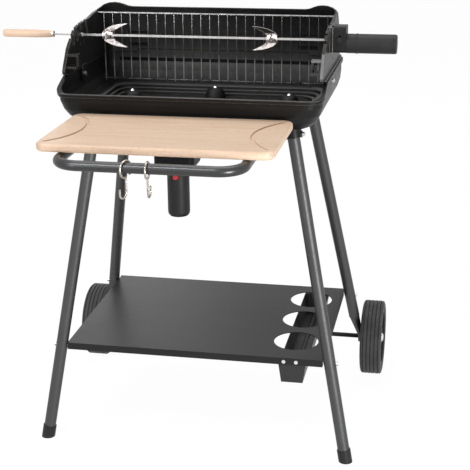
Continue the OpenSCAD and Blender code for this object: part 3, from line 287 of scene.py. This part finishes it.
def cast_enamel(name, pale_edges=False):
    """Black enamel over sand-cast iron: pale inside from ash and painted light, satin outside, edges worn
    brown with a painted highlight, slots and crevices darkened with painted shade, and a painted highlight
    on the right cheek if asked for.
    """
    m = Mat(name)
    normal = m.new("ShaderNodeNewGeometry").outputs["Normal"]
    iron = m.ramp(m.noise(9, 4), [(0.3, (0.0055, 0.0052, 0.005)), (0.7, (0.0095, 0.009, 0.0087))])
    # Pale inside tone: ash, and painted light that lifts the shaded inside of the bowl; lighter and darker
    # in bands by height
    streaks = m.noise(1, 4, vector=m.stretched((150, 150, 14)))
    ash_and_light = m.ramp(streaks, [(0.3, (0.075, 0.074, 0.073)), (0.7, (0.125, 0.123, 0.121))])
    level = m.span(m.part("Z"), 0.0, 1.0, *ASH_AND_LIGHT_Z)
    height_bands = m.ramp(level, [(0.0, (0.3,) * 3), (0.27, (0.14,) * 3), (0.455, (0.55,) * 3), (0.61, (1.0,) * 3),
                           (0.73, (0.55,) * 3), (0.86, (0.42,) * 3), (1.0, (0.28,) * 3)])
    ash_and_light = m.mix(1.0, ash_and_light, height_bands, "MULTIPLY")
    outward = m.vector("NORMALIZE", m.vector("SUBTRACT", m.coords, FIRE_MIDDLE))
    inside = m.span(m.vector("DOT_PRODUCT", outward, normal), 1.0, 0.0, -0.2, 0.05)
    fire_side = m.math("SUBTRACT", 1.0, m.math("ABSOLUTE", m.facing("X")))
    body = m.mix(m.math("MULTIPLY", inside, fire_side), iron, ash_and_light)
    # Edges lighter brown: worn enamel, and a painted highlight along the rim and the ribs
    worn_and_highlit = m.math("MULTIPLY", m.corners(0.0022), m.span(m.noise(70, 4), 0.4, 1.0, 0.35, 0.65))
    body = m.mix(worn_and_highlit, body, WORN_ENAMEL_AND_HIGHLIGHT)
    upward = m.span(m.facing("Z"), 0.0, 0.85, 0.7, 0.95)
    # Upward faces of the steps made paler: ash, and a painted highlight along the ledges
    tread_highlight = m.math("MULTIPLY", m.window(m.part("Z"), *LEDGES), upward)
    tread_highlight = m.math("MULTIPLY", tread_highlight, m.span(m.part("X"), 0.5, 1.0, *LEDGES_FADE))
    body = m.mix(tread_highlight, body, LEDGE_ASH_AND_HIGHLIGHT)
    # Painted highlight on the right cheek's front edge and on the top of its ledge, where light from the
    # right falls
    if pale_edges:
        cheek_highlight = m.math("MULTIPLY", m.window(m.part("Z"), *CHEEK_LIGHT_Z), m.window(m.part("X"), *CHEEK_LIGHT_X))
        cheek_highlight = m.math("MULTIPLY", cheek_highlight, m.span(m.part("Y"), 1.0, 0.0, *CHEEK_LIGHT_END))
        ahead = m.span(m.facing("Y"), 1.0, 0.0, -0.8, -0.4)
        cheek_highlight = m.math("MULTIPLY", cheek_highlight, m.math("MAXIMUM", ahead, upward))
        on_edge = m.span(m.part("X"), 0.0, 1.0, *CHEEK_LIGHT_EDGE)
        on_ledge = m.span(m.part("Z"), 0.15, 1.0, *CHEEK_LIGHT_LEDGE)
        cheek_highlight = m.math("MULTIPLY", cheek_highlight, m.math("MAXIMUM", on_edge, on_ledge))
        body = m.mix(cheek_highlight, body, CHEEK_HIGHLIGHT_TONE)
    across = m.math("SUBTRACT", m.part("X"), SHIFT.x)
    # Painted shade: dark bands in the vent slots and along the gap under the fire-back
    for (left, right), (low, high) in SHADED_VENTS:
        vent_shade = m.math("MULTIPLY", m.window(across, left / MM_PER_M, right / MM_PER_M),
                      m.window(m.part("Z"), low / MM_PER_M, high / MM_PER_M))
        vent_shade = m.math("MULTIPLY", vent_shade, m.span(m.facing("Y"), 1.0, 0.0, -0.8, -0.3))
        body = m.mix(vent_shade, body, PAINTED_SHADE)
    # Crevices and corners darkened towards black: painted shade
    m.colour(m.mix(m.crevices(0.012), PAINTED_SHADE, body))
    satin = m.span(m.noise(60, 4), 0.34, 0.46, *NOISE_RANGE)
    m.rough(m.math("ADD", satin, m.math("MULTIPLY", inside, 0.1)))
    m.bump((m.noise(26, 2), 0.25, 0.0016), (m.noise(900, 2), 0.22, 0.0003), edge=0.0016)
    return m.set(Specular_IOR_Level=0.16).mat


def powder_coat(name, dark, light, low, high, shine=0.3, flake=0.0, dust=0.0, worn_and_highlit=0.0, peel=0.1):
    """Powder-coated steel: slight orange peel, cloudy tone; metal flake, dust, and pale edges of worn paint
    with a painted highlight, if asked for.
    """
    m = Mat(name)
    paint = m.ramp(m.noise(14, 5), [(0.32, dark), (0.68, light)])
    if dust:
        paleness = m.span(m.noise(1, 4, vector=m.stretched((3.5, 22, 22))), 0.85, 1.15, *NOISE_RANGE)
        lying = m.math("MULTIPLY", m.span(m.facing("Z"), 0.0, 1.0, 0.5, 0.95), paleness)
        paint = m.mix(m.math("MULTIPLY", lying, dust), paint, DUST_AND_PAINTED_LIGHT)
    if worn_and_highlit:
        paint = m.mix(m.math("MULTIPLY", m.corners(0.0018), worn_and_highlit), paint, BARE_STEEL_AND_HIGHLIGHT)
    m.colour(paint)
    m.rough(m.span(m.noise(120, 3), low, high, *NOISE_RANGE))
    m.bump((m.noise(700, 2), peel, 0.0003), edge=0.0005)
    return m.set(Specular_IOR_Level=shine, Metallic=flake).mat


def metal(name, dark, light, low, high):
    """Bright metal with uneven polish and a few dull patches."""
    m = Mat(name)
    marks = m.noise(220, 4)
    m.colour(m.ramp(m.noise(75, 4), [(0.34, dark), (0.6, light)]))
    m.rough(m.span(marks, low, high, *NOISE_RANGE))
    m.bump((marks, 0.05, 0.0002))
    return m.set(Metallic=1.0).mat


def plastic(name, dark, light, low, high, grain=0.2, shine=0.3):
    """Moulded plastic with a fine spark-eroded grain."""
    m = Mat(name)
    m.colour(m.ramp(m.noise(25, 4), [(0.3, dark), (0.7, light)]))
    m.rough(m.span(m.noise(90, 3), low, high, *NOISE_RANGE))
    m.bump((m.noise(1300, 1), grain, 0.0002), edge=0.0008)
    return m.set(Specular_IOR_Level=shine).mat


def reflection_banded_wire():
    """Plated grid wire, its tone in bands by height: a painted reflection, brightest at the top rail and
    dark in the middle and at the bottom, where the wire mirrors the dark castings.
    """
    m = Mat("reflection_banded_wire")
    height = m.math("ADD", m.part("Z"), m.span(m.noise(60, 3), -0.006, 0.006, *NOISE_RANGE))
    bands = m.span(height, 0.0, 1.0, *GRID_Z)
    m.colour(m.ramp(bands, [(0.0, (0.01,) * 3), (0.1, (0.03,) * 3), (0.16, (0.3,) * 3), (0.3, (0.26,) * 3),
                            (0.4, (0.04,) * 3), (0.62, (0.05,) * 3), (0.74, (0.13,) * 3),
                            (0.84, (0.16,) * 3), (0.9, (0.44, 0.42, 0.42))]))
    m.rough(m.span(m.noise(220, 3), 0.2, 0.34, *NOISE_RANGE))
    m.bump((m.noise(300, 3), 0.05, 0.0002))
    m.join(m.span(bands, 0.0, 1.0, 0.64, 0.78), m.shader.inputs["Metallic"])
    return m.set(Specular_IOR_Level=0.12).mat


def spit_steel():
    """The spit's square bar: polished between the cheeks, duller where it runs out to the handle."""
    m = Mat("spit_steel")
    marks = m.noise(220, 4)
    bright = m.ramp(m.noise(20, 2), [(0.34, (0.47, 0.462, 0.457)), (0.66, (0.56, 0.552, 0.547))])
    dull = m.ramp(marks, [(0.34, (0.42, 0.415, 0.41)), (0.6, (0.54, 0.53, 0.525))])
    m.colour(m.mix(m.span(m.part("X"), 0.0, 1.0, *CHEEK_LEFT), dull, bright))
    m.rough(m.span(marks, 0.2, 0.32, *NOISE_RANGE))
    m.bump((marks, 0.02, 0.0002))
    return m.set(Metallic=0.6).mat


def fork_steel(name, sooty_tine=False):
    """Cast fork: bright rough tines, darker pits round the hub; the upper tine sooty if asked for."""
    m = Mat(name)
    pits = m.span(m.noise(170, 3), 1.0, 0.0, 0.42, 0.54)
    off_axis = m.vector("MULTIPLY", m.vector("SUBTRACT", m.coords, SPIT_AXIS), (0, 1, 1))
    hub = m.span(m.vector("LENGTH", off_axis), 1.0, 0.15, *HUB_FADE)
    steel = m.mix(m.math("MULTIPLY", pits, hub), FORK_BRIGHT, FORK_PITS)
    if sooty_tine:
        pale_edges = m.mix(m.corners(0.0012), TINE_SOOT, TINE_EDGE)
        above = m.span(m.part("Z"), 0.0, 1.0, *TINE_START)
        steel = m.mix(above, steel, pale_edges)
    m.colour(steel)
    m.rough(m.span(m.noise(220, 4), 0.2, 0.36, *NOISE_RANGE))
    m.bump((pits, 0.25, 0.0006))
    return m.set(Metallic=0.8).mat


def rack_sheet(name, paleness):
    """The rack's painted sheet: floor lighter from dust and painted light, painted shade beside the bead,
    left wall and back end lit with painted light, and a painted highlight by the given share.
    """
    m = Mat(name)
    aside = m.math("ABSOLUTE", m.math("SUBTRACT", m.part("X"), RACK_MIDDLE))
    on_floor = m.span(m.facing("Z"), 0.0, 1.0, 0.8, 0.9)
    # Painted shade in narrow lines beside the bead
    bead_shade = m.math("MULTIPLY", on_floor, m.window(aside, *BEAD_SHADE))
    paint = m.ramp(m.noise(14, 5), [(0.32, (0.018, 0.018, 0.019)), (0.68, (0.022, 0.022, 0.023))])
    # Floor lighter: dust and painted light
    paint = m.mix(m.math("MULTIPLY", on_floor, 0.08), paint, DUST_AND_PAINTED_LIGHT)
    # Left wall and back end plate lighter: painted light on sheet that lies in shade
    left_wall = m.math("MULTIPLY", m.span(m.facing("X"), 0.0, 0.3, 0.5, 0.9),
                       m.span(m.part("X"), 1.0, 0.0, RACK_MIDDLE - 0.001, RACK_MIDDLE))
    back_end = m.math("MULTIPLY", m.span(m.facing("Y"), 0.6, 0.0, -0.9, -0.6),
                      m.span(m.part("Y"), 0.0, 1.0, *RACK_BACK))
    paint = m.mix(m.math("MAXIMUM", left_wall, back_end), paint, DUST_AND_PAINTED_LIGHT)
    paint = m.mix(m.math("MULTIPLY", bead_shade, 0.8), paint, PAINTED_SHADE)
    # Lighter by the given share: a painted highlight on the raised bead
    m.colour(m.mix(paleness, paint, BEAD_HIGHLIGHT))
    m.rough(m.span(m.noise(120, 3), 0.34, 0.46, *NOISE_RANGE))
    m.bump((m.noise(700, 2), 0.1, 0.0003), edge=0.0005)
    return m.set(Specular_IOR_Level=0.3).mat


# Width of one stave of the board, metres, and how far the grain is shifted from stave to stave
STAVE = 0.041
STAVE_SHIFT = 7.3
GRAIN_STRETCH = (5, 75, 75)
FLECK_STRETCH = (110, 1100, 1100)


def beech(name):
    """Steamed beech glued up from staves: fine long grain and short dark flecks."""
    m = Mat(name)
    index = m.math("FLOOR", m.math("DIVIDE", m.part("Y"), STAVE))
    tone = m.new("ShaderNodeTexWhiteNoise", noise_dimensions="1D")
    m.join(index, tone.inputs["W"])
    shift = m.new("ShaderNodeCombineXYZ")
    m.join(m.math("MULTIPLY", tone.outputs["Value"], STAVE_SHIFT), shift.inputs["X"])
    moved = m.vector("ADD", m.coords, shift.outputs[0])
    grain = m.noise(1.6, 6, 0.6, m.stretched(GRAIN_STRETCH, moved))
    fleck = m.noise(1, 1, 0.4, m.stretched(FLECK_STRETCH, moved))
    wood = m.ramp(grain, [(0.28, (0.56, 0.395, 0.275)), (0.5, (0.63, 0.46, 0.335)),
                          (0.74, (0.69, 0.525, 0.395))])
    wood = m.mix(m.span(tone.outputs["Value"], 0.0, 0.3), wood, (0.57, 0.40, 0.28))
    wood = m.mix(m.span(fleck, 0.0, 0.6, 0.62, 0.7), wood, BEECH_FLECK)
    # Grooves and crevices a little darker: painted shade
    m.colour(m.mix(m.crevices(0.009), BEECH_GROOVE_SHADE, wood))
    m.rough(m.span(grain, 0.48, 0.62, *NOISE_RANGE))
    m.bump((grain, 0.12, 0.0005), (fleck, 0.06, 0.0002))
    return m.mat


# Finish of each material slot: dark and light tone, and lowest and highest roughness where asked for
MATERIALS = {
    "casting": cast_enamel("cast_enamel"),
    "chrome_wire": metal("chrome_wire", (0.66, 0.64, 0.625), (0.88, 0.86, 0.845), 0.14, 0.24),
    "tube_paint": powder_coat("tube_paint", (0.068, 0.0685, 0.0705), (0.075, 0.0755, 0.0775), 0.42, 0.48,
                              flake=0.7),
    "sheet_paint": powder_coat("sheet_paint", (0.0158, 0.0158, 0.0163), (0.0172, 0.0172, 0.0177), 0.38, 0.42,
                               shine=0.12, dust=0.034, peel=0.04),
    "zinc": metal("zinc", (0.62, 0.62, 0.62), (0.8, 0.8, 0.8), 0.24, 0.38),
    "beech": beech("beech"),
    "black_plastic": plastic("black_plastic", (0.0105, 0.0105, 0.011), (0.016, 0.016, 0.017), 0.4, 0.54,
                             shine=0.22),
    "tyre": plastic("tyre", (0.03, 0.03, 0.03), (0.045, 0.045, 0.045), 0.56, 0.7, 0.35),
    "gear_plastic": plastic("gear_plastic", (0.6, 0.58, 0.52), (0.72, 0.7, 0.64), 0.4, 0.5),
    "red_plastic": plastic("red_plastic", (0.36, 0.022, 0.026), (0.44, 0.034, 0.04), 0.25, 0.35, 0.05),
    "cell": metal("cell", (0.3, 0.28, 0.22), (0.42, 0.4, 0.33), 0.3, 0.4),
}
# Finish of single nodes whose looks differ from the rest of their slot
OWN_FINISH = {
    "fire_back": cast_enamel("back_enamel", pale_edges=True),
    "board_rail": powder_coat("rail_paint", (0.058, 0.0585, 0.06), (0.063, 0.0635, 0.065), 0.29, 0.33,
                              flake=0.85, peel=0.02),
    "charcoal_grid": reflection_banded_wire(),
    "bottle_rack": rack_sheet("rack_paint", 0.0),
    # Pale edges: worn paint, and a painted highlight on the bracket's edges
    "motor_bracket": powder_coat("bracket_paint", (0.015, 0.015, 0.0155), (0.018, 0.018, 0.0185), 0.34, 0.46,
                                 shine=0.12, worn_and_highlit=0.9),
    "spit_rod": spit_steel(),
    "handle_ferrule": metal("ferrule", (0.3, 0.24, 0.19), (0.5, 0.43, 0.36), 0.24, 0.36),
    "hook_left": metal("hook_wire", (0.3, 0.27, 0.23), (0.5, 0.47, 0.42), 0.12, 0.22),
    "fork_left": fork_steel("fork_steel"),
    "fork_right": fork_steel("fork_steel_sooty", sooty_tine=True),
    "fork_screw_left": metal("screw_steel", (0.16, 0.14, 0.135), (0.5, 0.46, 0.45), 0.2, 0.34),
    "gearbox_case": plastic("case_plastic", (0.007, 0.007, 0.007), (0.011, 0.011, 0.011), 0.42, 0.56,
                            shine=0.16),
    # Darker than the other black plastic: painted shade, for the duct lies in shade under the board
    "blower_duct": plastic("duct_shaded_plastic", (0.004, 0.004, 0.004), (0.007, 0.007, 0.007), 0.42, 0.56,
                           shine=0.1),
}
OWN_FINISH["hook_right"] = OWN_FINISH["hook_left"]
OWN_FINISH["fork_screw_right"] = OWN_FINISH["fork_screw_left"]


def dress_nodes():
    """Gives each CAD node its own finish or that of its slot."""
    slots = {s["node"]: s["material_slot"] for s in frame["record"]["subparts"]}
    for name, obj in nodes.items():
        obj.data.materials.clear()
        obj.data.materials.append(OWN_FINISH.get(name) or MATERIALS[slots[name]])


# The bead along the rack's floor, millimetres: (place along it, share of its full section)
BEAD_STATIONS = [
    (-196, 0.2), (-193, 0.62), (-188, 0.9), (-181, 1.0),
    (178, 1.0), (185, 0.9), (190, 0.62), (193, 0.2),
]
# Half its width, its height above the floor and its depth in it, and the floor's own height, millimetres
BEAD_HALF = 4.2
BEAD_HEIGHT = 2.4
BEAD_SUNK = 0.3
RACK_FLOOR_TOP = 168.2
BEAD_SIDES = 12


def add_rack_bead():
    """A closed ridge with a round back and tapered ends, sunk a little into the rack's floor."""
    shape = bmesh.new()
    rings = []
    for along, share in BEAD_STATIONS:
        ring = []
        for step in range(BEAD_SIDES + 1):
            turn = math.pi * step / BEAD_SIDES
            across = RACK_MIDDLE_MM + BEAD_HALF * share * math.cos(turn)
            height = RACK_FLOOR_TOP - BEAD_SUNK + (BEAD_HEIGHT + BEAD_SUNK) * share * math.sin(turn)
            ring.append(shape.verts.new(at(across, along, height)))
        rings.append(ring)
    for ring, following in zip(rings, rings[1:]):
        for step in range(BEAD_SIDES):
            face = shape.faces.new((ring[step], ring[step + 1], following[step + 1], following[step]))
            face.smooth = True
        shape.faces.new((ring[-1], ring[0], following[0], following[-1]))
    shape.faces.new(rings[0])
    shape.faces.new(rings[-1])
    bmesh.ops.recalc_face_normals(shape, faces=shape.faces)
    mesh = bpy.data.meshes.new("rack_bead")
    shape.to_mesh(mesh)
    shape.free()
    mesh.materials.append(rack_sheet("bead_paint", 0.7))
    bead = bpy.data.objects.new("rack_bead", mesh)
    bpy.context.scene.collection.objects.link(bead)
    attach(bead, "stand")


# Studio: pale floor, soft light and white surroundings, which light less than they show
WORLD_LIGHT = 0.36
WORLD_SEEN = 1.0
FLOOR_HALF_M = 9.0
FLOOR_TONE = (0.86, 0.86, 0.86, 1)
FLOOR_ROUGH = 0.9
FLOOR_GLOW = 1.03
FLOOR_SHARE = 0.93
# Lamps: place, aim and size in metres, and watts
LAMPS = {
    "key": ((-1.5, -2.9, 1.6), (0, 0, 0.55), (0.9, 1.4), 20),
    "fill": ((2.0, -2.3, 0.42), (0, 0, 0.4), (0.9, 0.75), 74),
    "front": ((-1.05, -2.2, 3.05), (0, 0, 0.6), (1.6, 0.35), 46),
    "top": ((0, 0.4, 3.0), (0, 0, 0.6), (2.2, 1.6), 34),
    "back": ((-1.5, 3.2, 1.6), (0, 0, 0.5), (1.6, 1.0), 12),
}


def ray_switch(tree):
    """1 for rays that the camera, a mirror or glass sends out, else 0."""
    path = tree.nodes.new("ShaderNodeLightPath")
    seen = path.outputs["Is Camera Ray"]
    for kind in ("Is Glossy Ray", "Is Transmission Ray"):
        either = tree.nodes.new("ShaderNodeMath")
        either.operation = "MAXIMUM"
        tree.links.new(seen, either.inputs[0])
        tree.links.new(path.outputs[kind], either.inputs[1])
        seen = either.outputs[0]
    return seen


def add_world():
    """White surroundings that light the object less than they show."""
    world = bpy.data.worlds.new("studio")
    bpy.context.scene.world = world
    world.use_nodes = True
    tree = world.node_tree
    back = tree.nodes["Background"]
    back.inputs["Color"].default_value = (1, 1, 1, 1)
    strength = tree.nodes.new("ShaderNodeMapRange")
    strength.inputs["To Min"].default_value = WORLD_LIGHT
    strength.inputs["To Max"].default_value = WORLD_SEEN
    tree.links.new(ray_switch(tree), strength.inputs["Value"])
    tree.links.new(strength.outputs[0], back.inputs["Strength"])


def add_floor():
    """A pale floor that looks white to the camera and in mirrors."""
    mesh = bpy.data.meshes.new("floor")
    half = FLOOR_HALF_M
    corners = [(-half, -half, 0), (half, -half, 0), (half, half, 0), (-half, half, 0)]
    mesh.from_pydata(corners, [], [(0, 1, 2, 3)])
    floor = bpy.data.objects.new("floor", mesh)
    bpy.context.scene.collection.objects.link(floor)
    m = Mat("floor")
    m.set(Base_Color=FLOOR_TONE, Roughness=FLOOR_ROUGH)
    glow = m.new("ShaderNodeEmission")
    glow.inputs["Strength"].default_value = FLOOR_GLOW
    mixer = m.new("ShaderNodeMixShader")
    m.join(m.math("MULTIPLY", ray_switch(m.tree), FLOOR_SHARE), mixer.inputs["Fac"])
    m.join(m.shader.outputs[0], mixer.inputs[1])
    m.join(glow.outputs[0], mixer.inputs[2])
    m.join(mixer.outputs[0], m.tree.nodes["Material Output"].inputs["Surface"])
    mesh.materials.append(m.mat)


def add_lamps():
    """Soft rectangular lamps, each turned to its aim."""
    for name, (place, aim, size, watts) in LAMPS.items():
        data = bpy.data.lights.new(name, "AREA")
        data.shape = "RECTANGLE"
        data.size, data.size_y = size
        data.energy = watts
        obj = bpy.data.objects.new(name, data)
        bpy.context.scene.collection.objects.link(obj)
        obj.location = place
        obj.rotation_euler = (Vector(aim) - Vector(place)).to_track_quat("-Z", "Y").to_euler()


add_camera()
dress_nodes()
add_rack_bead()
add_world()
add_floor()
add_lamps()
bpy.context.scene.view_settings.view_transform = "Standard"
